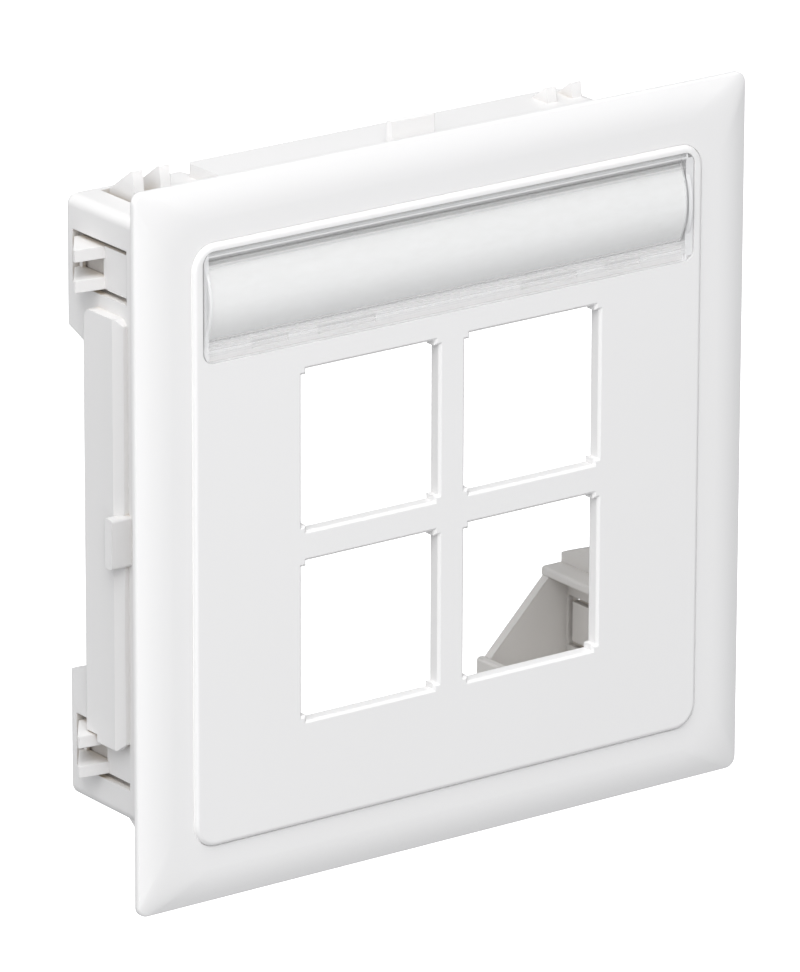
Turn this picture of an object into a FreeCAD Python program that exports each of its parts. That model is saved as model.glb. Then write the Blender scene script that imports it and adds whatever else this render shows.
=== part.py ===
import FreeCAD, Part
import Sketcher
import math
import os
import re

# Keystone faceplate: an 85 mm dress frame, a centre plate with four port openings and a
# label field, its clear cover and paper strip, and the square carrier that snaps in behind.
#
# Millimetres. Z is up and the front looks along -Y. The origin is the centre of the seating
# plane, y = 0, where the back of the frame meets the wall or box and the carrier begins.

SIZES = (
    ("frame_width", "85", "outer frame, side to side and top to bottom"),
    ("frame_corner", "1.3", "radius of the outer corners"),
    ("frame_depth", "1.6", "seating plane to the flat of the ring"),
    ("rim_depth", "0.65", "straight part of the outer side"),
    ("dome_width", "4.2", "width of the curve that falls to the rim"),
    ("dome_corner", "4.6", "corner radius where the curve meets the flat of the ring"),
    ("rim_rounding", "0.35", "rounding where the curve meets the outer side"),
    ("ring_width", "7", "visible ring beside the plate"),
    ("ledge_width", "0.7", "overlap of the plate edge on the ledge"),
    ("ledge_depth", "0.75", "ledge in front of the seating plane"),
    ("seat_step", "0.25", "step in the back of the frame that centres the carrier"),
    ("seat_play", "0.15", "play around the carrier in that step"),
    ("plate_play", "0.05", "gap around the plate in the front opening"),
    ("step_play", "0.15", "gap around the plate inside the ledge"),
    ("plate_corner", "3", "radius of the plate corners"),
    ("plate_front", "2", "plate face in front of the seating plane"),
    ("plate_wall", "1.6", "plate thickness around the ports"),
    ("plate_edge_depth", "1.2", "thickness of the overlapping edge"),
    ("plate_rounding", "0.6", "rounding of the front edge"),
    ("port_width", "19", "port opening across"),
    ("port_height", "19.1", "port opening up"),
    ("port_pitch", "22.64", "centre to centre, both ways"),
    ("port_gap", "2.93", "plate between the label field and the upper ports"),
    ("port_step", "0.65", "square step that fills each port corner"),
    ("port_chamfer", "0.3", "lead-in around the port"),
    ("field_side", "1.25", "plate left beside the label field"),
    ("field_top", "0.9", "plate left above the label field"),
    ("field_height", "13", "label field up"),
    ("field_corner", "1.5", "corner radius of the label field"),
    ("field_seat", "0.8", "depth of the seat for the cover lips"),
    ("recess_depth", "1.5", "depth of the recess from the plate face"),
    ("recess_play", "0.1", "gap below the lower web of the cover"),
    ("recess_corner", "0.3", "corner radius of the recess"),
    ("recess_ledge", "0.35", "seat left under the upper edge of the cover"),
    ("latch_depth", "0.3", "pockets for the latches of the cover"),
    ("latch_height", "0.9", "latch pockets up"),
    ("latch_low", "0.55", "latch pockets above the foot of the field"),
    ("latch_inner", "14.1", "middle of the inner pockets from the centre"),
    ("latch_inner_width", "7.9", "inner pockets across"),
    ("latch_outer", "24.6", "middle of the outer pockets from the centre"),
    ("latch_outer_width", "5", "outer pockets across"),
    ("field_backing", "0.4", "plate behind the field, past the seating plane"),
    ("field_border", "0.95", "backing below the field"),
    ("leg_spacing", "36", "clip legs, centre to centre up the plate"),
    ("leg_width", "8", "clip leg across"),
    ("leg_thickness", "1.4", "clip leg thickness"),
    ("leg_play", "0.1", "between a leg and the carrier wall"),
    ("leg_reach", "6.5", "legs behind the seating plane"),
    ("leg_sink", "0.1", "start of the legs behind the plate edge"),
    ("barb_height", "0.9", "barb beyond the leg face"),
    ("barb_start", "4.2", "catching face of the barb"),
    ("barb_slope", "0.1", "slope of that face"),
    ("barb_length", "1.7", "barb front to back"),
    ("barb_flat", "0.7", "flat top of the barb"),
    ("barb_play", "0.2", "slot beyond the barb, front and back"),
    ("slot_play", "0.5", "slot beyond the leg, above and below"),
    ("cover_play", "0.05", "gap above and below the clear cover in its field"),
    ("side_play", "0.2", "gap beside the cover"),
    ("border_left", "0.3", "flat border left of the lens"),
    ("border_right", "0.55", "flat border right of the lens"),
    ("lens_end", "0.3", "wall at the ends of the lens"),
    ("lip_depth", "0.7", "thickness of the flat lips"),
    ("low_lip", "2.15", "flat lip under the lens"),
    ("top_lip", "1.45", "flat lip over the lens"),
    ("lens_crest", "2.65", "top of the lens in front of the seating plane"),
    ("lens_rise", "1.15", "rise of the lens from edge to crest"),
    ("lens_wall", "0.6", "thickness of the lens"),
    ("web_wall", "0.4", "web between lip and lens"),
    ("web_play", "0.05", "between the web and the floor of the recess"),
    ("notch_size", "0.6", "pry notches at the right of the cover"),
    ("notch_inset", "0.2", "notch from the end of the cover"),
    ("strip_left", "0.7", "label strip short of the cover at the left"),
    ("strip_right", "1", "label strip short of the cover at the right"),
    ("strip_play", "0.05", "above and below the strip"),
    ("strip_wall", "0.2", "paper thickness"),
    ("strip_gap", "0.03", "between paper and lens"),
    ("carrier_margin", "0.35", "carrier tube beyond the edge of the plate"),
    ("carrier_wall", "1.5", "wall of the tube"),
    ("carrier_corner", "1.2", "outer corner radius of the tube"),
    ("carrier_depth", "22.8", "seating plane to the rear of the corner blocks"),
    ("carrier_rounding", "0.8", "rear outer edge of the blocks"),
    ("block_rear", "15.05", "corner block along the wall, at the rear"),
    ("side_block", "17.2", "side block along the wall, at the foot of its slant"),
    ("side_cut", "5.6", "how far the side walls are cut back"),
    ("top_block", "15.65", "top block along the wall, at the foot of its slant"),
    ("top_cut", "2.5", "how far the top and bottom walls are cut back"),
    ("hook_bar", "1.5", "bar behind the hook windows"),
    ("hook_window_length", "10.7", "windows front to back"),
    ("hook_window_width", "6.3", "windows across"),
    ("hook_inset", "7", "middle of each tongue from the side of the tube"),
    ("tongue_width", "5", "snap tongue across"),
    ("tongue_play", "0.8", "between the free end and the bar"),
    ("hook_foot", "4.8", "foot of the steep face behind the window front"),
    ("hook_lean", "0.5", "foot to tip, front to back"),
    ("hook_height", "3.3", "tip above the wall"),
    ("hook_tail", "0.25", "end of the ramp above the wall"),
    ("hook_flat", "0.35", "flat on the tip"),
    ("hook_slot", "2.2", "slot between the two ribs of a hook"),
    ("hook_floor", "0.5", "tongue left under that slot"),
    ("tongue_sink", "0.4", "tongue face below the face of the wall"),
    ("hook_slot_start", "0.3", "sunk part of the slot, behind the foot"),
    ("hook_slot_length", "4.2", "sunk part of the slot, front to back"),
    ("shelf_inset", "13.25", "middle of the shelf ribs from the side of the tube"),
    ("shelf_wall", "1.2", "shelf rib thickness"),
    ("shelf_reach", "2.9", "shelf rib inward from the wall"),
    ("shelf_rounding", "0.4", "inner corners of the shelf ribs"),
    ("shelf_length", "13.8", "shelf ribs front to back"),
    ("gusset_depth", "1.2", "corner gusset thickness"),
    ("gusset_size", "17", "across plus up, from the tube corner to the gusset edge"),
    ("side_pad_height", "1.4", "side pad above the wall"),
    ("side_pad_start", "10.5", "front of the side pad"),
    ("pad_bevel", "0.85", "bevel of its front edge, across"),
    ("pad_bevel_depth", "1", "bevel of its front edge, front to back"),
    ("side_pad_low", "8.75", "end of the left pad above the tube bottom"),
    ("side_pad_high", "11.75", "end of the left pad below the tube top"),
    ("side_pad_corner", "0.8", "corner radius of the pads"),
    ("pad_relief_start", "15.1", "where the pad end clears the hook"),
    ("pad_relief_step", "0.9", "length of that relief"),
    ("pad_relief", "0.3", "gap between pad end and tongue"),
    ("side_lug_height", "2.7", "side lug above the wall"),
    ("side_lug_start", "9.9", "front of the side lug"),
    ("side_lug_depth", "1.5", "side lug front to back"),
    ("side_lug_corner", "0.4", "corner radius of the side lug"),
    ("side_lug_centre", "-1.9", "side lug above the centre"),
    ("side_lug_width", "6", "side lug up"),
    ("top_pad_height", "1.55", "top pad above the wall"),
    ("top_pad_start", "12", "front of the top pad"),
    ("top_pad_left", "14.9", "end of the top pad from the left of the tube"),
    ("top_pad_right", "4.6", "end of the top pad from the right of the tube"),
    ("top_lug_height", "4.4", "top lug above the wall"),
    ("top_lug_depth", "1.1", "top lug front to back"),
    ("top_lug_centre", "4.6", "top lug to the right of centre"),
    ("top_lug_width", "6", "top lug across"),
    ("overlap", "0.4", "how far a rib runs into the wall that carries it"),
    ("clearance", "2", "how far a cut runs past the material"),
)

NAMES = {name for name, number, note in SIZES}
XY, XZ, YZ = "XY_Plane", "XZ_Plane", "YZ_Plane"
ALONG_Y = "Y_Axis"

doc = FreeCAD.newDocument("keystone_faceplate")
sheet = doc.addObject("Spreadsheet::Sheet", "Sizes")
for row, (name, number, note) in enumerate(SIZES, start=1):
    sheet.set(f"A{row}", name)
    sheet.set(f"B{row}", number)
    sheet.set(f"C{row}", note)
    sheet.setAlias(f"B{row}", name)
doc.recompute()


def bound(formula):
    """The formula with every size written as a reference to the sheet."""
    def named(word):
        return f"Sizes.{word[0]}" if word[0] in NAMES else word[0]
    return re.sub(r"[a-z_]+", named, formula)


def value(formula):
    return float(sheet.evalExpression(bound(formula)))


def new_body(label):
    body = doc.addObject("PartDesign::Body", label)
    body.Label = label
    return body


def datum(body, role):
    return next(item for item in body.Origin.OriginFeatures if item.Role == role)


def draw(sketch, corners):
    """One closed outline. A corner is (across, up); with a third entry the side that leaves it
    is an arc of that radius, centred left of travel, or right of travel if it is written '-'."""
    spots = [FreeCAD.Vector(value(corner[0]), value(corner[1]), 0) for corner in corners]
    sides = []
    for index, corner in enumerate(corners):
        here = spots[index]
        there = spots[(index + 1) % len(spots)]
        if len(corner) == 2:
            sides.append((sketch.addGeometry(Part.LineSegment(here, there), False), 1, 2))
            continue
        left_turn = not corner[2].startswith("-")
        radius = value(corner[2].lstrip("-"))
        chord = there - here
        height = math.sqrt(max(radius ** 2 - chord.Length ** 2 / 4, 0))
        inward = FreeCAD.Vector(-chord.y, chord.x, 0).normalize() * (height if left_turn else -height)
        centre = here + chord / 2 + inward
        begin, end = (here, there) if left_turn else (there, here)
        angles = [math.atan2(spot.y - centre.y, spot.x - centre.x) for spot in (begin, end)]
        circle = Part.Circle(centre, FreeCAD.Vector(0, 0, 1), radius)
        side = sketch.addGeometry(Part.ArcOfCircle(circle, *angles), False)
        sides.append((side, 1, 2) if left_turn else (side, 2, 1))
        tie(sketch, ("Radius", side, radius), corner[2].lstrip("-"))
    for index, corner in enumerate(corners):
        side, begin, end = sides[index]
        before, before_begin, before_end = sides[index - 1]
        sketch.addConstraint(Sketcher.Constraint("Coincident", before, before_end, side, begin))
        tie(sketch, ("DistanceX", -1, 1, side, begin, spots[index].x), corner[0])
        tie(sketch, ("DistanceY", -1, 1, side, begin, spots[index].y), corner[1])


def tie(sketch, constraint, formula):
    """A dimension of the sketch that follows the sheet."""
    index = sketch.addConstraint(Sketcher.Constraint(*constraint))
    sketch.setExpression(f"Constraints[{index}]", bound(formula))


def outline(body, label, plane, level, *loops):
    """A sketch on an origin plane of the body, moved along the plane's normal by level."""
    sketch = body.newObject("Sketcher::SketchObject", label)
    sketch.AttachmentSupport = (datum(body, plane), [""])
    sketch.MapMode = "FlatFace"
    sketch.setExpression("AttachmentOffset.Base.z", bound(level))
    for corners in loops:
        draw(sketch, corners)
    return sketch


def box(left, right, low, high):
    return [(left, low), (right, low), (right, high), (left, high)]


def rounded(left, right, low, high, radius):
    return [
        (f"{left} + {radius}", low),
        (f"{right} - {radius}", low, radius),
        (right, f"{low} + {radius}"),
        (right, f"{high} - {radius}", radius),
        (f"{right} - {radius}", high),
        (f"{left} + {radius}", high, radius),
        (left, f"{high} - {radius}"),
        (left, f"{low} + {radius}", radius),
    ]


def square(width, radius):
    return rounded(f"-{width} / 2", f"{width} / 2", f"-{width} / 2", f"{width} / 2", radius)


def pad(body, label, sketch, length, away=False):
    """Material along the sketch normal, or against it when away is set."""
    feature = body.newObject("PartDesign::Pad", label)
    feature.Profile = sketch
    feature.Reversed = away
    feature.setExpression("Length", bound(length))
    return feature


def pocket(body, label, sketch, length):
    """A cut against the sketch normal."""
    feature = body.newObject("PartDesign::Pocket", label)
    feature.Profile = sketch
    feature.setExpression("Length", bound(length))
    return feature


def slot(body, label, sketch, length):
    """A cut to both sides of the sketch plane."""
    feature = pocket(body, label, sketch, length)
    feature.SideType = "Symmetric"
    return feature


def loft(body, label, sections):
    """Material through a row of like outlines."""
    feature = body.newObject("PartDesign::AdditiveLoft", label)
    feature.Profile = sections[0]
    feature.Sections = sections[1:]
    return feature


def dressed(body, label, kind, size_name, base, size, chosen):
    """A fillet or chamfer on the edges of the base that the test picks."""
    doc.recompute()
    edges = enumerate(base.Shape.Edges, start=1)
    names = [f"Edge{index}" for index, edge in edges if chosen(edge.BoundBox)]
    feature = body.newObject(kind, label)
    feature.Base = (base, names)
    feature.setExpression(size_name, bound(size))
    return feature


def fillet(body, label, base, radius, chosen):
    return dressed(body, label, "PartDesign::Fillet", "Radius", base, radius, chosen)


def chamfer(body, label, base, size, chosen):
    return dressed(body, label, "PartDesign::Chamfer", "Size", base, size, chosen)


def polar(body, label, originals, count):
    """Copies of the features turned about Y, the axis that faces the room."""
    feature = body.newObject("PartDesign::PolarPattern", label)
    feature.Originals = originals
    feature.Axis = (datum(body, ALONG_Y), [""])
    feature.Angle = 360
    feature.Occurrences = count
    body.Tip = feature
    return feature


def mirrored(body, label, plane):
    feature = doc.addObject("PartDesign::Mirrored", label)
    feature.MirrorPlane = (datum(body, plane), [""])
    body.addObject(feature)
    return feature


def row_of_two(body, label, axis, backwards):
    feature = doc.addObject("PartDesign::LinearPattern", label)
    feature.Direction = (datum(body, axis), [""])
    feature.Reversed = backwards
    feature.Mode = "Spacing"
    feature.setExpression("Offset", bound("port_pitch"))
    feature.Occurrences = 2
    body.addObject(feature)
    return feature


def flat_at(bounds, level):
    return abs(bounds.YMin - level) < 0.001 and abs(bounds.YMax - level) < 0.001


DOME_STEPS = (0, 0.3, 0.65, 1)
PLATE = "(frame_width - 2 * ring_width)"
STEP = f"({PLATE} - 2 * ledge_width)"
STEP_CORNER = "(plate_corner - ledge_width)"
FIELD = f"({PLATE} - 2 * field_side)"
FIELD_LOW = f"({PLATE} / 2 - field_top - field_height)"
FIELD_HIGH = f"({PLATE} / 2 - field_top)"
PORT_TOP = f"({FIELD_LOW} - port_gap)"
COVER = f"({FIELD} - 2 * side_play)"
COVER_LOW = f"({FIELD_LOW} + cover_play)"
COVER_HIGH = f"({FIELD_HIGH} - cover_play)"
LENS_LOW = f"({COVER_LOW} + low_lip)"
LENS_HIGH = f"({COVER_HIGH} - top_lip)"
LENS_HEIGHT = "(field_height - 2 * cover_play - low_lip - top_lip)"
LENS_RADIUS = f"(({LENS_HEIGHT} ^ 2 / 4 + lens_rise ^ 2) / (2 * lens_rise))"
CARRIER = f"({PLATE} + 2 * carrier_margin)"
WALL = f"({CARRIER} / 2)"
INNER = f"({CARRIER} / 2 - carrier_wall)"
LEGS = f"({INNER} - leg_play)"

# Outer frame: one moulding, a ring with a domed front, a thin rim and a ledge for the plate.
frame = new_body("outer_frame")
blank = outline(frame, "frame_outline", XZ, "0", square("frame_width", "frame_corner"))
pad(frame, "frame_blank", blank, "rim_depth")
dome_rise = "(frame_depth - rim_depth)"
dome_radius = f"((dome_width ^ 2 + {dome_rise} ^ 2) / (2 * {dome_rise}))"
levels = []
for index, share in enumerate(DOME_STEPS):
    inset = f"(dome_width * {share})"
    drop = f"({dome_radius} - sqrt({dome_radius} ^ 2 - (dome_width - {inset}) ^ 2))"
    corner = f"(frame_corner + (dome_corner - frame_corner) * {share})"
    levels.append(outline(frame, f"dome_outline_{index}", XZ, f"frame_depth - {drop}",
                          square(f"(frame_width - 2 * {inset})", corner)))
domed = loft(frame, "dome", levels)
fillet(frame, "rim_rounding", domed, "rim_rounding", lambda bounds: flat_at(bounds, -value("rim_depth")))
ledge = outline(frame, "ledge_outline", XZ, "frame_depth + clearance",
                square(f"({STEP} + 2 * step_play)", f"({STEP_CORNER} + step_play)"))
pocket(frame, "ledge_cut", ledge, "frame_depth + 2 * clearance")
drop = outline(frame, "opening_outline", XZ, "frame_depth + clearance",
               square(f"({PLATE} + 2 * plate_play)", "(plate_corner + plate_play)"))
pocket(frame, "opening_cut", drop, "frame_depth + clearance - ledge_depth")
seat = outline(frame, "seat_outline", XZ, "seat_step",
               square(f"({CARRIER} + 2 * seat_play)", "(carrier_corner + seat_play)"))
pocket(frame, "seat_cut", seat, "seat_step + clearance")


# Centre plate: one moulding with four ports, a sunk label field and four clip legs behind.
plate = new_body("centre_plate")
edge = outline(plate, "plate_outline", XZ, "plate_front - plate_edge_depth", square(PLATE, "plate_corner"))
edge_slab = pad(plate, "plate_edge_slab", edge, "plate_edge_depth")
fillet(plate, "face_rounding", edge_slab, "plate_rounding",
       lambda bounds: flat_at(bounds, -value("plate_front")))
step = outline(plate, "step_outline", XZ, "plate_front - plate_wall",
               square(STEP, STEP_CORNER))
pad(plate, "plate_step", step, "plate_wall - plate_edge_depth")
backing = outline(plate, "backing_outline", XZ, "-field_backing",
                  rounded(f"-{LEGS}", LEGS, f"{FIELD_LOW} - field_border", LEGS, STEP_CORNER))
pad(plate, "field_backing_slab", backing, "plate_front - plate_wall + field_backing")
field = outline(plate, "field_outline", XZ, "plate_front",
                rounded(f"-{FIELD} / 2", f"{FIELD} / 2", FIELD_LOW, FIELD_HIGH, "field_corner"))
pocket(plate, "field_seat_cut", field, "field_seat")
recess = outline(plate, "recess_outline", XZ, "plate_front",
                 rounded(f"-({FIELD} / 2 - recess_ledge)", f"{FIELD} / 2 - recess_ledge",
                         f"{LENS_LOW} - web_wall - recess_play", f"{FIELD_HIGH} - recess_ledge",
                         "recess_corner"))
pocket(plate, "recess_cut", recess, "recess_depth")
latch_foot = f"({FIELD_LOW} + latch_low)"
latches = [
    box(f"{middle} - {width} / 2", f"{middle} + {width} / 2", latch_foot, f"{latch_foot} + latch_height")
    for middle, width in (
        ("-latch_outer", "latch_outer_width"), ("-latch_inner", "latch_inner_width"),
        ("latch_inner", "latch_inner_width"), ("latch_outer", "latch_outer_width"),
    )
]
latch = outline(plate, "latch_outlines", XZ, "plate_front", *latches)
pocket(plate, "latch_pockets", latch, "field_seat + latch_depth")


def port_outline(grow):
    """A port at the upper left with a small square left standing in each corner."""
    left = f"-port_pitch / 2 - port_width / 2 - {grow}"
    right = f"-port_pitch / 2 + port_width / 2 + {grow}"
    low = f"{PORT_TOP} - port_height - {grow}"
    high = f"{PORT_TOP} + {grow}"
    return [
        (f"{left} + port_step", low), (f"{right} - port_step", low),
        (f"{right} - port_step", f"{low} + port_step"), (right, f"{low} + port_step"),
        (right, f"{high} - port_step"), (f"{right} - port_step", f"{high} - port_step"),
        (f"{right} - port_step", high), (f"{left} + port_step", high),
        (f"{left} + port_step", f"{high} - port_step"), (left, f"{high} - port_step"),
        (left, f"{low} + port_step"), (f"{left} + port_step", f"{low} + port_step"),
    ]


port = outline(plate, "port_outline", XZ, "plate_front", port_outline("0"))
port_cut = pocket(plate, "port_cut", port, "plate_wall + clearance")
ports = doc.addObject("PartDesign::MultiTransform", "ports")
plate.addObject(ports)
ports.Originals = [port_cut]
ports.Transformations = [row_of_two(plate, "ports_across", "X_Axis", False),
                         row_of_two(plate, "ports_down", "Z_Axis", True)]
plate.Tip = ports


def at_a_port(bounds):
    inside = value("port_pitch / 2 + port_width / 2") + 0.001
    top = value(PORT_TOP) + 0.001
    return flat_at(bounds, -value("plate_front")) and abs(bounds.XMax) < inside and bounds.ZMax < top


chamfer(plate, "port_lead_in", ports, "port_chamfer", at_a_port)
leg_root = "-plate_front + plate_edge_depth + leg_sink"
leg_outer = f"-{LEGS}"
leg_inner = f"{leg_outer} + leg_thickness"
barb_top = f"{leg_outer} - barb_height"
leg = outline(
    plate, "leg_profile", XY, "leg_spacing / 2 - leg_width / 2",
    [(leg_outer, leg_root), (leg_inner, leg_root),
     (leg_inner, "leg_reach"), (leg_outer, "leg_reach"),
     (leg_outer, "barb_start + barb_length"), (barb_top, "barb_start + barb_slope + barb_flat"),
     (barb_top, "barb_start + barb_slope"), (leg_outer, "barb_start")],
)
leg_pad = pad(plate, "clip_leg", leg, "leg_width")
legs = doc.addObject("PartDesign::MultiTransform", "clip_legs")
plate.addObject(legs)
legs.Originals = [leg_pad]
legs.Transformations = [mirrored(plate, "legs_side_to_side", YZ), mirrored(plate, "legs_up_and_down", XY)]
plate.Tip = legs

# Label cover: one clear moulding, a flat border around a hollow convex lens.
cover = new_body("label_window")
lens_axis = f"{LENS_RADIUS} - lens_crest"
lens_edge = "lens_rise - lens_crest"
inner_radius = f"({LENS_RADIUS} - lens_wall)"
inner_edge = f"({lens_axis} - sqrt({inner_radius} ^ 2 - {LENS_HEIGHT} ^ 2 / 4))"
web_back = "(recess_depth - plate_front - web_play)"
LENS_LEFT = f"({COVER} / 2 - border_left)"
LENS_RIGHT = f"({COVER} / 2 - border_right)"
border = outline(cover, "cover_outline", XZ, "plate_front - lip_depth",
                 rounded(f"-{COVER} / 2", f"{COVER} / 2", COVER_LOW, COVER_HIGH,
                         "(field_corner - side_play)"))
pad(cover, "cover_border", border, "lip_depth")
section = outline(
    cover, "lens_section", YZ, f"-{LENS_LEFT}",
    [(web_back, f"{LENS_LOW} - web_wall"), (web_back, f"{LENS_HIGH} + web_wall"),
     ("-plate_front", f"{LENS_HIGH} + web_wall"), ("-plate_front", LENS_HIGH),
     (lens_edge, LENS_HIGH, LENS_RADIUS), (lens_edge, LENS_LOW),
     ("-plate_front", LENS_LOW), ("-plate_front", f"{LENS_LOW} - web_wall")],
)
pad(cover, "lens", section, f"{LENS_LEFT} + {LENS_RIGHT}")
hollow = outline(
    cover, "hollow_section", YZ, f"{LENS_RIGHT} - lens_end",
    [(inner_edge, LENS_LOW), (f"{web_back} + clearance", LENS_LOW), (f"{web_back} + clearance", LENS_HIGH),
     (inner_edge, LENS_HIGH, inner_radius)],
)
pocket(cover, "lens_hollow", hollow, f"{LENS_LEFT} + {LENS_RIGHT} - 2 * lens_end")
notch_right = f"{COVER} / 2 - notch_inset"
notch_left = f"{notch_right} - notch_size"
notches = outline(
    cover, "notch_outlines", XZ, "plate_front",
    box(notch_left, notch_right, f"{COVER_HIGH} - notch_size", f"{COVER_HIGH} + clearance"),
    box(notch_left, notch_right, f"{COVER_LOW} - clearance", f"{COVER_LOW} + notch_size"),
)
pocket(cover, "pry_notches", notches, "lip_depth")

# Label strip: a slip of paper bowed against the inside of the lens.
strip = new_body("label_strip")
front_radius = f"({LENS_RADIUS} - lens_wall - strip_gap)"
back_radius = f"({LENS_RADIUS} - lens_wall - strip_gap - strip_wall)"
strip_half = f"({LENS_HEIGHT} / 2 - strip_play)"
front_edge = f"{lens_axis} - sqrt({front_radius} ^ 2 - {strip_half} ^ 2)"
back_edge = f"{lens_axis} - sqrt({back_radius} ^ 2 - {strip_half} ^ 2)"
strip_low = f"{LENS_LOW} + strip_play"
strip_high = f"{LENS_HIGH} - strip_play"
bow = outline(
    strip, "strip_section", YZ, f"-({COVER} / 2 - strip_left)",
    [(back_edge, strip_low, "-" + back_radius), (back_edge, strip_high),
     (front_edge, strip_high, front_radius), (front_edge, strip_low)],
)
pad(strip, "strip_sheet", bow, f"{COVER} - strip_left - strip_right")

# Carrier: one moulding, a square tube cut back between four corner blocks, with snap hooks.
carrier = new_body("carrier")
rear = "carrier_depth"
beyond = "carrier_depth + clearance"
through = f"{CARRIER} + 2 * clearance"
tube = outline(carrier, "tube_outline", XZ, "-carrier_depth", square(CARRIER, "carrier_corner"),
               box(f"-{INNER}", INNER, f"-{INNER}", INNER))
tube_pad = pad(carrier, "tube", tube, "carrier_depth + seat_step")
fillet(
    carrier, "rear_rounding", tube_pad, "carrier_rounding",
    lambda bounds: flat_at(bounds, value("carrier_depth"))
    and max(bounds.XMax, -bounds.XMin, bounds.ZMax, -bounds.ZMin) > value(INNER) + 0.1,
)
side_depth = "carrier_depth - side_cut"
side_half = f"({WALL} - side_block)"
top_depth = "carrier_depth - top_cut"
top_half = f"({WALL} - top_block)"
rear_half = f"({WALL} - block_rear)"
side_cut = outline(
    carrier, "side_cut_back", YZ, "0",
    [(side_depth, f"-{side_half}"), (rear, f"-{rear_half}"), (beyond, f"-{rear_half}"),
     (beyond, rear_half), (rear, rear_half), (side_depth, side_half)],
)
slot(carrier, "side_walls_cut_back", side_cut, through)
top_cut = outline(
    carrier, "top_cut_back", XY, "0",
    [(f"-{top_half}", top_depth), (top_half, top_depth), (rear_half, rear),
     (rear_half, beyond), (f"-{rear_half}", beyond), (f"-{rear_half}", rear)],
)
slot(carrier, "top_walls_cut_back", top_cut, through)
clip_start = "barb_start - barb_play"
clip_end = "barb_start + barb_length + barb_play"
clip_low = "leg_spacing / 2 - leg_width / 2 - slot_play"
clip_high = "leg_spacing / 2 + leg_width / 2 + slot_play"
clip_slots = outline(
    carrier, "clip_slot_outlines", YZ, "0",
    box(clip_start, clip_end, clip_low, clip_high),
    box(clip_start, clip_end, f"-({clip_high})", f"-({clip_low})"),
)
slot(carrier, "clip_slots", clip_slots, through)
hook_middle = f"({WALL} - hook_inset)"
near = f"{hook_middle} - hook_window_width / 2"
far = f"{hook_middle} + hook_window_width / 2"
end = "carrier_depth - hook_bar"
start = f"{end} - hook_window_length"
side_windows = outline(carrier, "side_window_outlines", YZ, "0",
                       box(start, end, near, far), box(start, end, f"-({far})", f"-({near})"))
slot(carrier, "side_windows", side_windows, through)
top_windows = outline(carrier, "top_window_outlines", XY, "0",
                      box(near, far, start, end), box(f"-({far})", f"-({near})", start, end))
slot(carrier, "top_windows", top_windows, through)
tongue_end = f"{end} - tongue_play"
foot = f"{start} + hook_foot"
tip = f"{foot} + hook_lean"
tongue_face = f"(tongue_sink - {WALL})"
tongue = outline(
    carrier, "hook_profile", XY, f"{hook_middle} - tongue_width / 2",
    [(f"-{WALL}", f"{start} - overlap"), (f"-{INNER}", f"{start} - overlap"), (f"-{INNER}", tongue_end),
     (f"-{WALL} - hook_tail", tongue_end), (f"-{WALL} - hook_height", f"{tip} + hook_flat"),
     (f"-{WALL} - hook_height", tip), (tongue_face, foot), (tongue_face, start), (f"-{WALL}", start)],
)
tongue_pad = pad(carrier, "hook_tongue", tongue, "tongue_width")
slot_start = f"{foot} + hook_slot_start"
slot_end = f"{slot_start} + hook_slot_length"
slot_floor = f"(-{INNER} - hook_floor)"
outside = f"-{WALL} - hook_height - clearance"
groove = outline(
    carrier, "hook_slot_profile", XY, f"{hook_middle} + hook_slot / 2",
    [(outside, f"{foot} - overlap"), (tongue_face, f"{foot} - overlap"), (tongue_face, slot_start),
     (slot_floor, slot_start), (slot_floor, slot_end), (tongue_face, slot_end),
     (tongue_face, f"{tongue_end} + overlap"), (outside, f"{tongue_end} + overlap")],
)
groove_cut = pocket(carrier, "hook_slot_cut", groove, "hook_slot")
shelf_middle = f"({WALL} - shelf_inset)"
shelf_low = f"{shelf_middle} - shelf_wall / 2"
shelf_high = f"{shelf_middle} + shelf_wall / 2"
shelf_edge = f"shelf_reach - {INNER}"
shelf = outline(
    carrier, "shelf_profile", XZ, "-carrier_depth",
    [(f"-{INNER} - overlap", shelf_low), (f"{shelf_edge} - shelf_rounding", shelf_low, "shelf_rounding"),
     (shelf_edge, f"{shelf_low} + shelf_rounding"),
     (shelf_edge, f"{shelf_high} - shelf_rounding", "shelf_rounding"),
     (f"{shelf_edge} - shelf_rounding", shelf_high), (f"-{INNER} - overlap", shelf_high)],
)
shelf_pad = pad(carrier, "shelf_rib", shelf, "shelf_length")
ribs = doc.addObject("PartDesign::MultiTransform", "hooks_and_shelves")
carrier.addObject(ribs)
ribs.Originals = [tongue_pad, groove_cut, shelf_pad]
turn = doc.addObject("PartDesign::PolarPattern", "four_walls")
turn.Axis = (datum(carrier, ALONG_Y), [""])
turn.Angle = 360
turn.Occurrences = 4
flip = mirrored(carrier, "both_ends_of_a_wall", XY)
carrier.addObject(turn)
ribs.Transformations = [flip, turn]
carrier.Tip = ribs
doc.recompute()
gusset_far = f"({CARRIER} - gusset_size - {shelf_middle})"
gusset = outline(
    carrier, "gusset_outline", XZ, "-carrier_depth",
    [(f"-{INNER} - overlap", shelf_middle), (f"-{gusset_far}", shelf_middle),
     (f"-{shelf_middle}", gusset_far), (f"-{shelf_middle}", f"{INNER} + overlap"),
     (f"-{INNER} - overlap", f"{INNER} + overlap")],
)
gusset_pad = pad(carrier, "gusset", gusset, "gusset_depth")
polar(carrier, "gussets", [gusset_pad], 4)
pad_low = f"side_pad_low - {WALL}"
pad_high = f"{WALL} - side_pad_high"
relief_low = f"{pad_low} + pad_relief_step"
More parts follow.
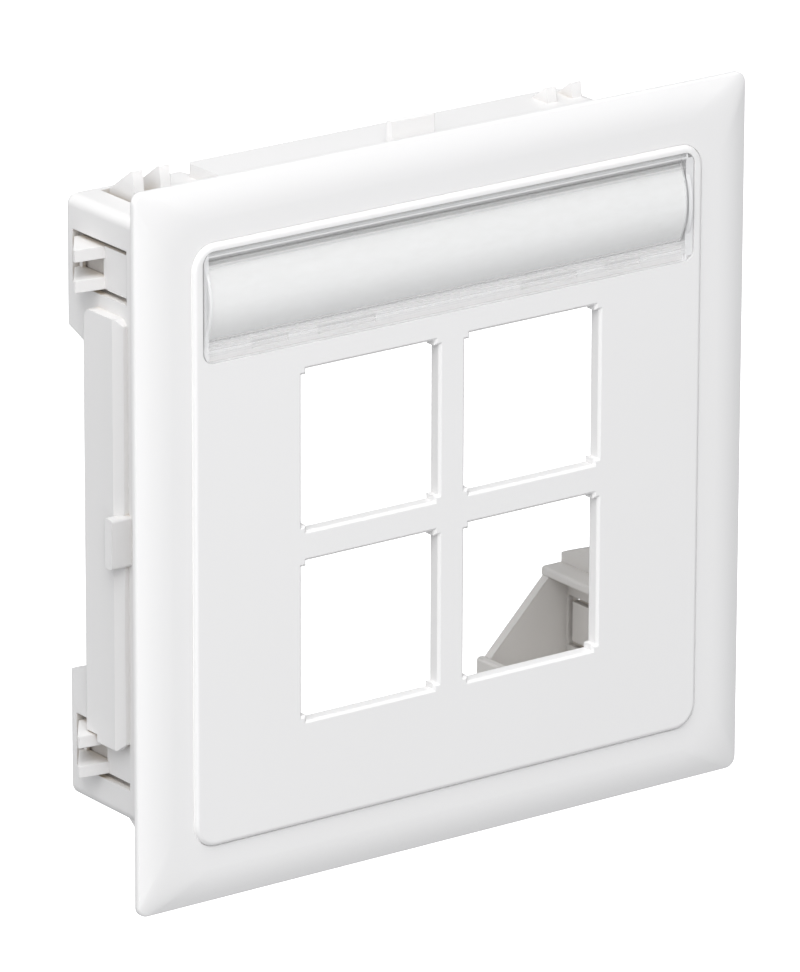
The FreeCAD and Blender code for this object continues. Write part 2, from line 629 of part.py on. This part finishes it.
side_pad = outline(
    carrier, "side_pad_outline", YZ, f"-{WALL} - side_pad_height",
    [("side_pad_start", f"{pad_low} + side_pad_corner"), ("side_pad_start + side_pad_corner", pad_low),
     ("pad_relief_start", pad_low), ("pad_relief_start", relief_low), (side_depth, relief_low),
     (side_depth, f"{pad_high} - side_pad_corner"), (f"{side_depth} - side_pad_corner", pad_high),
     ("side_pad_start + side_pad_corner", pad_high), ("side_pad_start", f"{pad_high} - side_pad_corner")],
)
side_pad_feature = pad(carrier, "side_pad", side_pad, "side_pad_height")
pad_face = f"(-{WALL} - side_pad_height)"
bevel_foot = f"{pad_face} + pad_bevel"
bevel_end = "side_pad_start + pad_bevel_depth"
bevel = outline(
    carrier, "side_pad_bevel_outline", XY, "0",
    [(pad_face, bevel_end), (f"{pad_face} - clearance", bevel_end),
     (f"{pad_face} - clearance", "side_pad_start - overlap"),
     (bevel_foot, "side_pad_start - overlap"), (bevel_foot, "side_pad_start")],
)
bevel_cut = slot(carrier, "side_pad_bevel", bevel, through)
side_lug = outline(
    carrier, "side_lug_outline", YZ, f"-{WALL} - side_lug_height",
    rounded("side_lug_start", "(side_lug_start + side_lug_depth)",
            "(side_lug_centre - side_lug_width / 2)", "(side_lug_centre + side_lug_width / 2)",
            "side_lug_corner"),
)
side_lug_feature = pad(carrier, "side_lug", side_lug, "side_lug_height + overlap")
relief = outline(
    carrier, "pad_relief_outline", YZ, f"-{WALL}",
    box(start, "pad_relief_start + clearance", f"{pad_low} - clearance", f"-({near})"),
)
relief_cut = pocket(carrier, "pad_relief_cut", relief, "pad_relief")
top_pad = outline(
    carrier, "top_pad_outline", XY, WALL,
    rounded(f"top_pad_left - {WALL}", f"{WALL} - top_pad_right", "top_pad_start", top_depth,
            "side_pad_corner"),
)
top_pad_feature = pad(carrier, "top_pad", top_pad, "top_pad_height")
top_lug = outline(
    carrier, "top_lug_outline", XY, f"{WALL} + top_pad_height / 2",
    box("top_lug_centre - top_lug_width / 2", "top_lug_centre + top_lug_width / 2",
        "top_pad_start", "top_pad_start + top_lug_depth"),
)
top_lug_feature = pad(carrier, "top_lug", top_lug, "top_lug_height - top_pad_height / 2")
polar(carrier, "pads_and_lugs",
      [side_pad_feature, bevel_cut, side_lug_feature, relief_cut, top_pad_feature, top_lug_feature], 2)
doc.recompute()

SUB_PARTS = (frame, plate, cover, strip, carrier)
for item in doc.Objects:
    if "Invalid" in item.State or "Error" in item.State:
        raise RuntimeError(f"{item.Label} did not compute: {item.State}")
for part in SUB_PARTS:
    if part.Shape.isNull() or not part.Shape.isValid() or len(part.Shape.Solids) != 1:
        raise RuntimeError(f"{part.Label} is not one valid solid")

os.makedirs("parts", exist_ok=True)
for part in SUB_PARTS:
    part.Shape.exportStep(f"parts/{part.Label}.step")
    print(part.Label, round(part.Shape.Volume, 1), part.Shape.BoundBox)
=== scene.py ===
"""The finished look of the keystone faceplate, from its dress frame back to its carrier."""

import math

import bpy
from mathutils import Matrix, Vector


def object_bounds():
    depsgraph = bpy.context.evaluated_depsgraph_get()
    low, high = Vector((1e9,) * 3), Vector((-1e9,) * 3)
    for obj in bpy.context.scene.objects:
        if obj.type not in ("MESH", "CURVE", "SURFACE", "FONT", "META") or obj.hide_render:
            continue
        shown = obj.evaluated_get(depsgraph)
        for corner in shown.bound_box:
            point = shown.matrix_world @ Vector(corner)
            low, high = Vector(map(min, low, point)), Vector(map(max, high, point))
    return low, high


MM = 0.001

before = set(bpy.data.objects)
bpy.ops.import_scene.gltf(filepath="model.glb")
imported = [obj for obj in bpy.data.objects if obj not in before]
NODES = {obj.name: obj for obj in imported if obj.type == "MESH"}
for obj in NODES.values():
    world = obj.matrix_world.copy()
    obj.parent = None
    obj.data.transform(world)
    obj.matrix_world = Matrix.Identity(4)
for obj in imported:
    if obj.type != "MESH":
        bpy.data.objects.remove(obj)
CAD_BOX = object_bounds()
SCENE = bpy.context.scene

# -------------------------------------------------------------------- places

# The origin is the middle of the seating plane: X runs to the right, Y into the wall and Z up.
FRAME_HALF = CAD_BOX[1][0]
RING_WIDTH = 7.0 * MM
PLATE_HALF = FRAME_HALF - RING_WIDTH
PLATE_CORNER = 3.0 * MM
PLATE_FLAT = PLATE_HALF - PLATE_CORNER
# The lit line in the thin gap runs from just inside the edge of the plate to just outside it.
GAP_INNER = -0.04 * MM
GAP_OUTER = 0.07 * MM

CARRIER_MARGIN = 0.35 * MM
TUBE_FACE = PLATE_HALF + CARRIER_MARGIN
# The painted shade inside the carrier reaches out to here, partway through its wall, and starts
# this far behind the seating plane.
TUBE_INNER = TUBE_FACE - 0.8 * MM
TUBE_MOUTH = 3.0 * MM
# Painted light glows on the hooks and pads above and below the tube from here on, and the most near
# their tips.
THIN_FOOT = TUBE_FACE + 1.05 * MM
THIN_TIP = TUBE_FACE + 3.15 * MM

# Heights that the painted lines of the cover and the painted light and shade of the strip are laid over.
COVER_LOW = 21.5 * MM
COVER_HIGH = 34.7 * MM
STRIP_LOW = 23.0 * MM
STRIP_HIGH = 34.0 * MM
# The cover is clear between these two places across; beyond them it is painted near white for light
# piped through its ends.
COVER_END_LEFT = -33.45 * MM
COVER_END_RIGHT = 32.95 * MM

# ----------------------------------------------------------------- finishes

# Tones as linear light.
GLOSS_WHITE = (0.845, 0.838, 0.836)
CARRIER_WHITE = (0.790, 0.782, 0.778)
CLEAR = (0.985, 0.986, 0.987)
PAINTED_END_LIGHT = (0.94, 0.94, 0.945)
PAPER = (0.935, 0.935, 0.93)
BLACK = (0.0, 0.0, 0.0)

PLASTIC_IOR = 1.49
PAPER_IOR = 1.40

# Noise patterns: repeats per metre, detail, roughness.
DRIFT = (38.0, 3.0, 0.5)
SMEAR = (120.0, 4.0, 0.6)
PEEL = (260.0, 2.0, 0.5)
FIBRES = (1500.0, 5.0, 0.65)
COVER_SMEAR = (150.0, 3.0, 0.5)
COVER_WAVES = (90.0, 1.0, 0.5)
# Tool grain: detail and roughness only, because each moulding has a grain size of its own.
GRAIN = (3.0, 0.5)
# The part of a noise pattern's 0 to 1 that is spread over the whole of a range.
NOISE_LOW = 0.2
NOISE_HIGH = 0.8

# Mouldings: the darker tone that they drift to and how far, the painted shade inside the carrier's tube,
# and the painted shade of its slots, beige to dark brown.
DRIFT_TONE = (0.986, 0.984, 0.980)
DRIFT_SHARE = 0.55
PAINTED_TUBE_SHADE = (0.965, 0.95, 0.925)
PAINTED_SLOT_SHADE_BEIGE = (0.56, 0.47, 0.36)
PAINTED_SLOT_SHADE_BROWN = (0.11, 0.070, 0.045)
# Painted slot shade: how far a wall still shades a slot, and the open share where the painted shade
# starts and is full.
SLOT_REACH = 3.0 * MM
SLOT_OPEN = 0.42
SLOT_DEEP = 0.14
# Eased edges, orange peel and depth of the tool grain.
EASED_EDGE = 0.14 * MM
PEEL_STRENGTH = 0.05
PEEL_DEPTH = 0.02 * MM
GRAIN_DEPTH = 0.01 * MM
# Rays that look for edges to ease and for walls that shade a slot.
PROBE_RAYS = 6
# Painted light, a glow of the white plastic though it is no lamp: in the gap around the plate, low right
# and top left, and on the thin hooks and pads.
PAINTED_GAP_LIGHT_LOW = 0.05
PAINTED_GAP_LIGHT_HIGH = 0.17
PAINTED_TIP_LIGHT = 0.15

# Paper: fibres run across the strip, and the bow shades it less behind the lens.
FIBRE_STRETCH = (0.35, 1.0, 1.0)
FLECK_TONE = (0.955, 0.952, 0.945)
FLECK_SHARE = 0.8
PAPER_ROUGHNESS = (0.72, 0.86)
FIBRE_STRENGTH = 0.35
FIBRE_DEPTH = 0.015 * MM
BOW_SHADE = 0.45
# Painted light and shade on the paper up its height, darker towards the bottom: millimetres above the
# middle of the faceplate, and tone.
PAPER_PAINTED_SHADING = (
    (24.0, 0.90), (25.4, 0.92), (26.6, 0.955), (28.2, 1.0), (31.0, 0.97), (32.0, 1.0),
)

# Clear cover: the least share that it mirrors and how that grows at a glance, its polish and its
# slow waves, and how solid the painted light on its ends looks.
CLEAR_LEAST = 0.045
GLANCE_BLEND = 0.5
GLANCE_POWER = 5.0
COVER_ROUGHNESS = (0.03, 0.09)
CLEAR_EDGE = 0.10 * MM
WAVE_STRENGTH = 0.05
WAVE_DEPTH = 0.02 * MM
PAINTED_END_SHARE = 0.62
# The mirror gives way to the tone of the plastic this many times as fast as the cover turns solid.
CAST_RISE = 5.0
# Painted highlight and shade lines up the height of the cover, standing in for the look of its ribs,
# webs and rims from the front:
# millimetres above the middle of the faceplate, tone, and how solid it looks.
COVER_PAINTED_LINES = (
    (21.60, 0.50, 0.22), (21.70, 0.50, 0.18), (21.76, 0.70, 0.00),
    (22.46, 0.60, 0.00), (22.52, 0.58, 0.10), (22.62, 0.58, 0.10), (22.68, 0.70, 0.00),
    (22.86, 0.98, 0.00), (22.93, 0.98, 0.40), (23.03, 0.98, 0.40), (23.12, 0.95, 0.00),
    (23.60, 0.95, 0.00), (23.75, 0.95, 0.30), (24.12, 0.95, 0.30), (24.26, 0.90, 0.00),
    (32.60, 0.55, 0.00), (32.72, 0.50, 0.30), (32.80, 0.46, 0.42), (32.92, 0.48, 0.36),
    (33.00, 0.60, 0.25), (33.14, 0.60, 0.20), (33.20, 0.60, 0.00), (33.92, 0.95, 0.00),
    (33.98, 0.95, 0.65), (34.12, 0.95, 0.65), (34.20, 0.80, 0.15), (34.60, 0.60, 0.15),
)


def feed(tree, value, socket):
    """Sets a socket to a number or a colour, or links another socket to it."""
    if isinstance(value, (int, float)):
        socket.default_value = value
    elif isinstance(value, tuple):
        socket.default_value = (*value, 1.0)
    else:
        tree.links.new(value, socket)


def math_node(tree, operation, first, second=0.0):
    """A Math node; each input is a number or a socket."""
    node = tree.nodes.new("ShaderNodeMath")
    node.operation = operation
    feed(tree, first, node.inputs[0])
    feed(tree, second, node.inputs[1])
    return node.outputs[0]


def vector_node(tree, operation, vector, factor=None):
    """A Vector Math node on a socket, with three numbers beside it where it needs them."""
    node = tree.nodes.new("ShaderNodeVectorMath")
    node.operation = operation
    feed(tree, vector, node.inputs[0])
    if factor is not None:
        node.inputs[1].default_value = factor
    return node.outputs["Vector"]


def parted(tree, vector):
    """The X, Y and Z of a vector socket."""
    node = tree.nodes.new("ShaderNodeSeparateXYZ")
    feed(tree, vector, node.inputs["Vector"])
    return node.outputs["X"], node.outputs["Y"], node.outputs["Z"]


def noise(tree, vector, scale, detail, roughness):
    """Noise at the places that the vector gives; the scale is a number or a socket."""
    node = tree.nodes.new("ShaderNodeTexNoise")
    node.inputs["Detail"].default_value = detail
    node.inputs["Roughness"].default_value = roughness
    feed(tree, scale, node.inputs["Scale"])
    feed(tree, vector, node.inputs["Vector"])
    return node.outputs["Fac"]


def fitted(tree, value, start, end, low=0.0, high=1.0, curve="LINEAR"):
    """Spreads a value between start and end over low to high."""
    node = tree.nodes.new("ShaderNodeMapRange")
    node.interpolation_type = curve
    node.inputs["From Min"].default_value = start
    node.inputs["From Max"].default_value = end
    node.inputs["To Min"].default_value = low
    node.inputs["To Max"].default_value = high
    feed(tree, value, node.inputs["Value"])
    return node.outputs["Result"]


def ranged(tree, pattern, low, high):
    """Spreads a noise pattern softly over low to high."""
    return fitted(tree, pattern, NOISE_LOW, NOISE_HIGH, low, high, "SMOOTHSTEP")


def between(tree, share, low, high):
    """A number part of the way from one socket to another."""
    node = tree.nodes.new("ShaderNodeMix")
    node.data_type = "FLOAT"
    feed(tree, share, node.inputs["Factor"])
    feed(tree, low, node.inputs["A"])
    feed(tree, high, node.inputs["B"])
    return node.outputs["Result"]


def tinted(tree, share, first, second, blend="MIX"):
    """Blends the second colour into the first by a share; each is a socket or plain numbers."""
    node = tree.nodes.new("ShaderNodeMix")
    node.data_type = "RGBA"
    node.blend_type = blend
    feed(tree, share, node.inputs["Factor"])
    feed(tree, first, node.inputs["A"])
    feed(tree, second, node.inputs["B"])
    return node.outputs["Result"]


def multiplied(tree, share, first, second):
    """Multiplies the first colour by the second, by a share of 0 to 1."""
    return tinted(tree, share, first, second, "MULTIPLY")


def ramp(tree, value, low, high, stops):
    """The tone and share along a length: a stop is (millimetres, tone, share), between low and high."""
    node = tree.nodes.new("ShaderNodeValToRGB")
    row = node.color_ramp
    for index, (place, tone, share) in enumerate(stops):
        at = (place * MM - low) / (high - low)
        # A new ramp has two stops already.
        if index < 2:
            stop = row.elements[index]
            stop.position = at
        else:
            stop = row.elements.new(at)
        stop.color = (tone, tone, tone, share)
    feed(tree, fitted(tree, value, low, high), node.inputs["Fac"])
    return node.outputs["Color"], node.outputs["Alpha"]


def eased(tree, radius):
    """The normal with each sharp edge rounded over the radius."""
    node = tree.nodes.new("ShaderNodeBevel")
    node.samples = PROBE_RAYS
    node.inputs["Radius"].default_value = radius
    return node.outputs["Normal"]


def bumped(tree, height, strength, depth, below=None):
    """The normal of a relief, laid over the normal below it."""
    node = tree.nodes.new("ShaderNodeBump")
    node.inputs["Distance"].default_value = depth
    feed(tree, strength, node.inputs["Strength"])
    feed(tree, height, node.inputs["Height"])
    if below is not None:
        feed(tree, below, node.inputs["Normal"])
    return node.outputs["Normal"]


def painted_slot_shade(tree):
    """Where slot shade is painted: 0 in the open and 1 deep in a slot, where nearby walls hide it."""
    node = tree.nodes.new("ShaderNodeAmbientOcclusion")
    node.samples = PROBE_RAYS
    node.inputs["Distance"].default_value = SLOT_REACH
    return fitted(tree, node.outputs["AO"], SLOT_DEEP, SLOT_OPEN, 1.0, 0.0, "SMOOTHSTEP")


def inside_the_tube(tree, place):
    """Where shade is painted in the carrier: 1 inside its tube and on the inner part of its wall, and 0
    elsewhere.
    """
    across, depth, height = parted(tree, place)
    sides = [math_node(tree, "ABSOLUTE", side) for side in (across, height)]
    widest = math_node(tree, "MAXIMUM", *sides)
    within = math_node(tree, "LESS_THAN", widest, TUBE_INNER)
    behind = math_node(tree, "GREATER_THAN", depth, TUBE_MOUTH)
    return math_node(tree, "MULTIPLY", within, behind)


def painted_gap_light(tree, place):
    """Painted light in the thin gap around the plate, along the rounded square of its edge, more at the
    top left.
    """
    across, _, height = parted(tree, place)
    reaches = []
    for side in (across, height):
        reach = math_node(tree, "ABSOLUTE", side)
        reach = math_node(tree, "SUBTRACT", reach, PLATE_FLAT)
        reach = math_node(tree, "MAXIMUM", reach, 0.0)
        reaches.append(math_node(tree, "MULTIPLY", reach, reach))
    beyond = math_node(tree, "SQRT", math_node(tree, "ADD", *reaches))
    after = math_node(tree, "GREATER_THAN", beyond, PLATE_CORNER + GAP_INNER)
    before = math_node(tree, "LESS_THAN", beyond, PLATE_CORNER + GAP_OUTER)
    inside = math_node(tree, "MULTIPLY", after, before)
    upper_left = math_node(tree, "GREATER_THAN", height, across)
    more = math_node(tree, "MULTIPLY", upper_left, PAINTED_GAP_LIGHT_HIGH - PAINTED_GAP_LIGHT_LOW)
    return math_node(tree, "MULTIPLY", inside, math_node(tree, "ADD", more, PAINTED_GAP_LIGHT_LOW))


def painted_tip_light(tree, place):
    """Painted light on the thin hooks and pads above and below the tube, more towards their tips."""
    _, _, height = parted(tree, place)
    away = math_node(tree, "ABSOLUTE", height)
    return fitted(tree, away, THIN_FOOT, THIN_TIP, 0.0, PAINTED_TIP_LIGHT, "SMOOTHSTEP")


def new_group(name, inputs, more_outputs=()):
    """A shader node group, its input and output nodes, and the place on the object.

    Inputs and more_outputs are (title, kind) rows; finish gives every input its value.
    """
    group = bpy.data.node_groups.new(name, "ShaderNodeTree")
    for title, kind in inputs:
        group.interface.new_socket(title, in_out="INPUT", socket_type=kind)
    for title, kind in (
        ("Colour", "NodeSocketColor"),
        ("Roughness", "NodeSocketFloat"),
        ("Normal", "NodeSocketVector"),
        *more_outputs,
    ):
        group.interface.new_socket(title, in_out="OUTPUT", socket_type=kind)
    given = group.nodes.new("NodeGroupInput").outputs
    made = group.nodes.new("NodeGroupOutput").inputs
    place = group.nodes.new("ShaderNodeTexCoord").outputs["Object"]
    return group, given, made, place


def moulded_skin(name, is_carrier):
    """Injection-moulded skin: eased edges, a faint orange peel, tool grain and slow tone drift, with
    painted shade in the carrier and a painted glow.
    """
    group, given, made, place = new_group(
        name,
        (
            ("Tone", "NodeSocketColor"),
            ("Gloss low", "NodeSocketFloat"),
            ("Gloss high", "NodeSocketFloat"),
            ("Grain size", "NodeSocketFloat"),
            ("Grain depth", "NodeSocketFloat"),
        ),
        (("Painted glow", "NodeSocketColor"),),
    )
    drift = ranged(group, noise(group, place, *DRIFT), 0.0, DRIFT_SHARE)
    tone = multiplied(group, drift, given["Tone"], DRIFT_TONE)
    if is_carrier:
        # Painted shade: the inside of the tube is painted darker and warmer.
        within = inside_the_tube(group, place)
        tone = multiplied(group, within, tone, PAINTED_TUBE_SHADE)
        # Painted shade: slots are painted beige, and dark brown inside the tube, where nearby walls hide
        # them.
        slot_shade_tones = tinted(group, within, PAINTED_SLOT_SHADE_BEIGE, PAINTED_SLOT_SHADE_BROWN)
        tone = tinted(group, painted_slot_shade(group), tone, slot_shade_tones)
        # Painted light: the hooks and pads glow, more towards their tips.
        glow = painted_tip_light(group, place)
    else:
        # Painted light: a glow in the thin gap around the plate.
        glow = painted_gap_light(group, place)
    feed(group, tone, made["Colour"])
    feed(group, tinted(group, glow, BLACK, given["Tone"]), made["Painted glow"])

    smear = noise(group, place, *SMEAR)
    feed(group, between(group, smear, given["Gloss low"], given["Gloss high"]), made["Roughness"])

    edges = eased(group, EASED_EDGE)
    peel = bumped(group, noise(group, place, *PEEL), PEEL_STRENGTH, PEEL_DEPTH, edges)
    grain = noise(group, place, given["Grain size"], *GRAIN)
    feed(group, bumped(group, grain, given["Grain depth"], GRAIN_DEPTH, peel), made["Normal"])
    return group


def paper_skin():
    """Uncoated label card: short fibres in tone and relief, the shading of its bow, and painted light
    and shade up its height.
    """
    group, given, made, place = new_group("paper_skin", (("Tone", "NodeSocketColor"),))
    stretch = group.nodes.new("ShaderNodeMapping")
    stretch.inputs["Scale"].default_value = FIBRE_STRETCH
    feed(group, place, stretch.inputs["Vector"])
    fibres = noise(group, stretch.outputs["Vector"], *FIBRES)
    flecks = ranged(group, fibres, 0.0, FLECK_SHARE)
    tone = multiplied(group, flecks, given["Tone"], FLECK_TONE)
    # Painted light and shade: the paper is darker towards the bottom and brightest across the middle.
    _, _, height = parted(group, place)
    stops = [(up, tone_there, 1.0) for up, tone_there in PAPER_PAINTED_SHADING]
    painted_lens_shading, _ = ramp(group, height, STRIP_LOW, STRIP_HIGH, stops)
    feed(group, multiplied(group, 1.0, tone, painted_lens_shading), made["Colour"])
    feed(group, ranged(group, fibres, *PAPER_ROUGHNESS), made["Roughness"])

    relief = bumped(group, fibres, FIBRE_STRENGTH, FIBRE_DEPTH)
    flatter = vector_node(group, "MULTIPLY", relief, (1.0, 1.0, BOW_SHADE))
    feed(group, vector_node(group, "NORMALIZE", flatter), made["Normal"])
    return group


def polished_skin():
    """Polished clear moulding: mirrors more at a glance, with painted light on its ends and painted
    highlight and shade lines up its height.
    """
    group, given, made, place = new_group(
        "polished_skin",
        (("Tone", "NodeSocketColor"),),
        (("Alpha", "NodeSocketFloat"), ("Metallic", "NodeSocketFloat")),
    )
    across, _, height = parted(group, place)
    # Painted highlight and shade lines up the height of the cover.
    painted_line_tone, painted_line_share = ramp(group, height, COVER_LOW, COVER_HIGH, COVER_PAINTED_LINES)
    # Painted light: the ends of the cover are painted near white and made more solid, for light piped
    # through them.
    left_end = math_node(group, "LESS_THAN", across, COVER_END_LEFT)
    right_end = math_node(group, "GREATER_THAN", across, COVER_END_RIGHT)
    ends = math_node(group, "MAXIMUM", left_end, right_end)
    solid = math_node(group, "MAXIMUM", painted_line_share, math_node(group, "MULTIPLY", ends, PAINTED_END_SHARE))
    cast = math_node(group, "MINIMUM", math_node(group, "MULTIPLY", solid, CAST_RISE), 1.0)
    painted_tone = tinted(group, ends, painted_line_tone, PAINTED_END_LIGHT)
    feed(group, tinted(group, cast, given["Tone"], painted_tone), made["Colour"])
    feed(group, math_node(group, "SUBTRACT", 1.0, cast), made["Metallic"])
    smear = noise(group, place, *COVER_SMEAR)
    feed(group, ranged(group, smear, *COVER_ROUGHNESS), made["Roughness"])

    edges = eased(group, CLEAR_EDGE)
    waves = noise(group, place, *COVER_WAVES)
    feed(group, bumped(group, waves, WAVE_STRENGTH, WAVE_DEPTH, edges), made["Normal"])

    glance = group.nodes.new("ShaderNodeLayerWeight")
    glance.inputs["Blend"].default_value = GLANCE_BLEND
    feed(group, edges, glance.inputs["Normal"])
    steep = math_node(group, "POWER", glance.outputs["Facing"], GLANCE_POWER)
    share = math_node(group, "MULTIPLY", steep, 1.0 - CLEAR_LEAST)
    mirror = math_node(group, "ADD", share, CLEAR_LEAST)
    feed(group, math_node(group, "MAXIMUM", mirror, solid), made["Alpha"])
    return group


def finish(name, group, tone, values=(), constants=()):
    """A material on a skin group: values go to the group, and constants to the shader itself."""
    material = bpy.data.materials.new(name)
    material.use_nodes = True
    tree = material.node_tree
    shader = tree.nodes["Principled BSDF"]
    skin = tree.nodes.new("ShaderNodeGroup")
    skin.node_tree = group
    feed(tree, tone, skin.inputs["Tone"])
    for title, value in values:
        feed(tree, value, skin.inputs[title])
    for title, value in constants:
        feed(tree, value, shader.inputs[title])
    for made, taken in (
        ("Colour", "Base Color"),
        ("Roughness", "Roughness"),
        ("Normal", "Normal"),
        ("Alpha", "Alpha"),
        ("Metallic", "Metallic"),
        ("Painted glow", "Emission Color"),
    ):
        if made in skin.outputs:
            feed(tree, skin.outputs[made], shader.inputs[taken])
    return material


def dress(node, material):
    """Gives a CAD node its finish."""
    slots = NODES[node].data.materials
    slots.clear()
    slots.append(material)


MOULDED = (("IOR", PLASTIC_IOR), ("Emission Strength", 1.0))
gloss_white = finish(
    "gloss_white_plastic",
    moulded_skin("gloss_skin", False),
    GLOSS_WHITE,
    (("Gloss low", 0.26), ("Gloss high", 0.36), ("Grain size", 3200.0), ("Grain depth", 0.12)),
    MOULDED,
)
carrier_white = finish(
    "carrier_plastic",
    moulded_skin("carrier_skin", True),
    CARRIER_WHITE,
    (("Gloss low", 0.38), ("Gloss high", 0.52), ("Grain size", 2400.0), ("Grain depth", 0.30)),
    MOULDED,
)
clear_cover = finish("clear_cover_plastic", polished_skin(), CLEAR)
label_card = finish("label_card", paper_skin(), PAPER, (), (("IOR", PAPER_IOR),))

dress("outer_frame", gloss_white)
dress("centre_plate", gloss_white)
dress("carrier", carrier_white)
dress("label_window", clear_cover)
dress("label_strip", label_card)

# -------------------------------------------------------------------- camera

CAMERA_AT = Vector((-585.04, -796.01, 334.09)) * MM
AZIMUTH = math.radians(36.04)
ELEVATION = math.radians(18.665)
ROLL = math.radians(0.178)
# Focal length in millimetres, and the nearest and farthest that the camera sees in metres.
FOCAL_LENGTH = 340.3
NEAREST = 0.05
FARTHEST = 60.0

back = Vector(
    (
        -math.sin(AZIMUTH) * math.cos(ELEVATION),
        -math.cos(AZIMUTH) * math.cos(ELEVATION),
        math.sin(ELEVATION),
    )
)
level = (-back).cross(Vector((0.0, 0.0, 1.0))).normalized()
upright = level.cross(-back)
across = math.cos(ROLL) * level + math.sin(ROLL) * upright
above = math.cos(ROLL) * upright - math.sin(ROLL) * level

lens = bpy.data.cameras.new("studio_camera")
lens.lens = FOCAL_LENGTH
lens.clip_start = NEAREST
lens.clip_end = FARTHEST
camera = bpy.data.objects.new("studio_camera", lens)
SCENE.collection.objects.link(camera)
camera.matrix_world = Matrix(
    (
        (across.x, above.x, back.x, CAMERA_AT.x),
        (across.y, above.y, back.y, CAMERA_AT.y),
        (across.z, above.z, back.z, CAMERA_AT.z),
        (0.0, 0.0, 0.0, 1.0),
    )
)
SCENE.camera = camera

# -------------------------------------------------------------------- studio

# Level and size of the floor in metres.
FLOOR_LEVEL = -0.45
FLOOR_SIZE = 40.0
FLOOR_TONE = (0.9, 0.9, 0.9)
FLOOR_ROUGHNESS = 0.9
FLOOR_LIGHT = (1.0, 1.0, 1.0)
FLOOR_GLOW = 1.1
SURROUND_TONE = (0.985, 1.0, 1.02)
SURROUND = 0.47

# Soft lights around the faceplate: name, degrees to the left of the front, degrees up, distance
# and size in metres, power in watts.
LIGHTS = (
    ("key_softbox", 36.0, 45.0, 1.0, 0.6, 4.0),
    ("high_softbox", 36.0, 70.0, 1.8, 0.9, 12.2),
    ("side_softbox", 60.0, 35.0, 1.0, 0.6, 1.8),
    ("rear_softbox", 125.0, 30.0, 1.0, 0.6, 1.1),
    ("low_softbox", 25.0, -14.0, 1.0, 0.6, 2.0),
)


def studio_world():
    """An even pale surround."""
    world = bpy.data.worlds.new("studio_surround")
    SCENE.world = world
    world.use_nodes = True
    glow = world.node_tree.nodes["Background"]
    glow.inputs["Color"].default_value = (*SURROUND_TONE, 1.0)
    glow.inputs["Strength"].default_value = SURROUND


def softbox(name, left, up, distance, size, power):
    """A square soft light facing the faceplate."""
    light = bpy.data.lights.new(name, "AREA")
    light.shape = "SQUARE"
    light.size = size
    light.energy = power
    holder = bpy.data.objects.new(name, light)
    SCENE.collection.objects.link(holder)
    left, up = math.radians(left), math.radians(up)
    way = Vector((-math.sin(left) * math.cos(up), -math.cos(left) * math.cos(up), math.sin(up)))
    holder.location = way * distance
    holder.rotation_euler = way.to_track_quat("Z", "Y").to_euler()


def pale_floor():
    """A wide white floor well below the faceplate, seen by the camera but lighting nothing."""
    bpy.ops.object.select_all(action="DESELECT")
    bpy.ops.mesh.primitive_plane_add(size=FLOOR_SIZE, location=(0.0, 0.0, FLOOR_LEVEL))
    floor = bpy.context.object
    floor.name = "studio_floor"
    material = bpy.data.materials.new("white_floor")
    material.use_nodes = True
    shader = material.node_tree.nodes["Principled BSDF"]
    shader.inputs["Base Color"].default_value = (*FLOOR_TONE, 1.0)
    shader.inputs["Roughness"].default_value = FLOOR_ROUGHNESS
    shader.inputs["Emission Color"].default_value = (*FLOOR_LIGHT, 1.0)
    shader.inputs["Emission Strength"].default_value = FLOOR_GLOW
    floor.data.materials.append(material)
    floor.visible_diffuse = False
    floor.visible_glossy = False
    floor.visible_transmission = False


studio_world()
for row in LIGHTS:
    softbox(*row)
pale_floor()
SCENE.view_settings.view_transform = "Standard"
